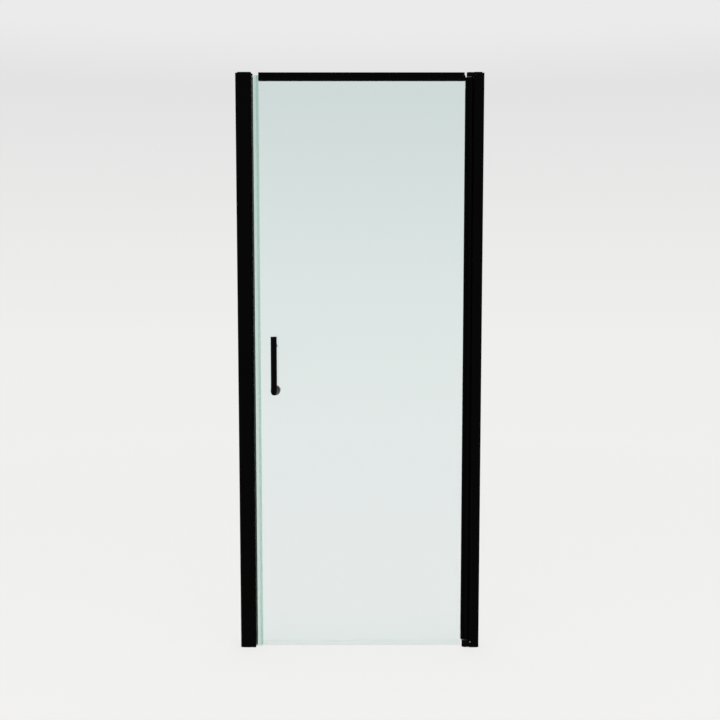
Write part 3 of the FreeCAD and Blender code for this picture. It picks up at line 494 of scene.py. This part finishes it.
def socketed(node, body, faces, outward, profile, rim, depth):
    """Stands for a node of screws, each turned to the profile, with a socket sunk in its head.

    The faces are the middles of the heads' faces. The profile runs from the tip to the edge of the
    face, in steps of how far a ring lies under the face and its radius.
    """
    across = outward.orthogonal().normalized()
    upward = outward.cross(across)
    shape = bmesh.new()
    for face in faces:
        steps = profile + [(0.0, rim), (depth, rim)]
        rings = [ring(shape, face - outward * below, across, upward, reach) for below, reach in steps]
        for low, high in zip(rings, rings[1:]):
            for side in range(SCREW_SIDES):
                after = (side + 1) % SCREW_SIDES
                shape.faces.new((low[side], low[after], high[after], high[side]))
        shape.faces.new(rings[0])
        shape.faces.new(rings[-1])
    bmesh.ops.recalc_face_normals(shape, faces=shape.faces)
    mesh = bpy.data.meshes.new(f"{node}_socketed")
    shape.to_mesh(mesh)
    shape.free()
    piece = bpy.data.objects.new(f"{node}_socketed", mesh)
    scene.collection.objects.link(piece)
    give(piece, nodes[node].data.materials[0])
    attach(piece, body)
    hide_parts(node)


def upper_handle_bolt():
    """The low-headed bolt inside the shower, its head's edge rounded over."""
    low, high = (Vector(corner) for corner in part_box("handle_upper_bolt"))
    middle = (low + high) / 2
    head = (high.x - low.x) / 2
    profile = [(high.y - low.y, BOLT_SHANK), (BOLT_HEAD_DEPTH, BOLT_SHANK), (BOLT_HEAD_DEPTH, head)]
    profile.append((BOLT_EDGE, head))
    for turn in BOLT_EDGE_TURNS:
        below = BOLT_EDGE * (1 - math.sin(turn))
        profile.append((below, head - BOLT_EDGE * (1 - math.cos(turn))))
    face = Vector((middle.x, high.y, middle.z))
    socketed("handle_upper_bolt", "door", [face], Vector((0, 1, 0)),
             profile, hexagon, BOLT_SOCKET_DEPTH)


def end_plate_screws(node, outward):
    """The sunk screws that hold an end plate: one at each end of the node's box, or one alone."""
    low, high = (Vector(corner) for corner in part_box(node))
    head = (high.x - low.x) / 2
    level = high.z if outward > 0 else low.z
    places = {round(low.y + head, 5), round(high.y - head, 5)}
    faces = [Vector(((low.x + high.x) / 2, y, level)) for y in sorted(places)]
    profile = [
        (high.z - low.z, PLATE_SCREW_SHANK),
        (PLATE_SCREW_HEAD_DEPTH, PLATE_SCREW_SHANK),
        (PLATE_SCREW_HEAD_DEPTH, head),
        (PLATE_SCREW_BEVEL, head),
        (0.0, head - PLATE_SCREW_BEVEL),
    ]
    socketed(node, "frame", faces, Vector((0, 0, outward)),
             profile, six_lobes, PLATE_SCREW_SOCKET_DEPTH)


upper_handle_bolt()
end_plate_screws("strike_cap_screws", 1)
end_plate_screws("top_bracket_screw", 1)
end_plate_screws("strike_foot_screws", -1)
end_plate_screws("bottom_bracket_screw", -1)


# ---------------------------------------------------------------- room

FLOOR_RADIUS = 9.0
LENS = 50.0
SENSOR_WIDTH = 36.0
CAMERA_PLACE = (0.0007, -3.2764, 1.2624)
CAMERA_TILT = 84.945  # degrees up from straight down


def room_light():
    """A pale studio: a soft band of shade over the horizon, brighter below."""
    world = bpy.data.worlds.new("pale_studio")
    scene.world = world
    finish = Finish("pale_studio", world)
    direction = finish.add("ShaderNodeTexCoord", output="Generated")
    rise = finish.axis(direction, "Z") * 0.5 + 0.5
    stops = [
        (0.20, (0.915, 0.905, 0.88, 1)),
        (0.36, (0.88, 0.88, 0.866, 1)),
        (0.47, (0.861, 0.859, 0.849, 1)),
        (0.515, (0.83, 0.83, 0.825, 1)),
        (0.588, (0.767, 0.767, 0.767, 1)),
        (0.612, (0.829, 0.829, 0.829, 1)),
        (0.90, (0.86, 0.86, 0.86, 1)),
    ]
    sky = finish.add("ShaderNodeValToRGB", {"stops": stops}, {0: rise})
    background = finish.add("ShaderNodeBackground", None, {"Color": sky, "Strength": 1.0})
    finish.add("ShaderNodeOutputWorld", None, {"Surface": background})


def floor():
    """A pale floor that fades into the studio, so that no horizon shows."""
    mesh = bpy.data.meshes.new("studio_floor")
    shape = bmesh.new()
    bmesh.ops.create_circle(shape, cap_ends=True, radius=FLOOR_RADIUS, segments=96)
    shape.to_mesh(mesh)
    shape.free()
    piece = bpy.data.objects.new("studio_floor", mesh)
    scene.collection.objects.link(piece)
    finish = Finish("pale_floor")
    flat = finish.place((1, 1, 0))
    away = finish.add("ShaderNodeVectorMath", {"operation": "LENGTH"}, {0: flat}, "Value")
    fade = 0.8 + 0.2 * finish.ramp(away / FLOOR_RADIUS, (0.08, 0), (0.5, 1))
    speckle = finish.noise((30, 30, 30), 3.0)
    matt = finish.solid(
        Base_Color=finish.mix(speckle, (0.90, 0.90, 0.893, 1), (0.92, 0.92, 0.913, 1)),
        Roughness=0.9,
        Specular_IOR_Level=0.0)
    gone = finish.add("ShaderNodeBsdfTransparent")
    give(piece, finish.finished(finish.blend(fade, matt, gone)))


def lamp(name, place, aim, width, height, power):
    """A soft rectangular lamp that points at a place on the door."""
    light = bpy.data.lights.new(name, "AREA")
    light.shape = "RECTANGLE"
    light.size = width
    light.size_y = height
    light.energy = power
    piece = bpy.data.objects.new(name, light)
    piece.location = place
    piece.rotation_euler = (Vector(aim) - Vector(place)).to_track_quat("-Z", "Y").to_euler()
    scene.collection.objects.link(piece)


def camera():
    """Eye height, square on to the door and tilted a little down, as in the photograph."""
    lens = bpy.data.cameras.new("camera")
    lens.lens = LENS
    lens.sensor_width = SENSOR_WIDTH
    piece = bpy.data.objects.new("camera", lens)
    piece.location = CAMERA_PLACE
    piece.rotation_euler = (math.radians(CAMERA_TILT), 0, 0)
    scene.collection.objects.link(piece)
    scene.camera = piece


room_light()
floor()
lamp("overhead_softbox", (0.0, -1.6, 3.6), (0, 0, 0.6), 2.6, 1.6, 9)
lamp("left_strip", (-3.0, -1.2, 1.4), (0, 0, 1.0), 0.5, 2.2, 8)
lamp("right_strip", (3.0, -1.2, 1.4), (0, 0, 1.0), 0.5, 2.2, 8)
camera()
scene.view_settings.view_transform = "Standard"
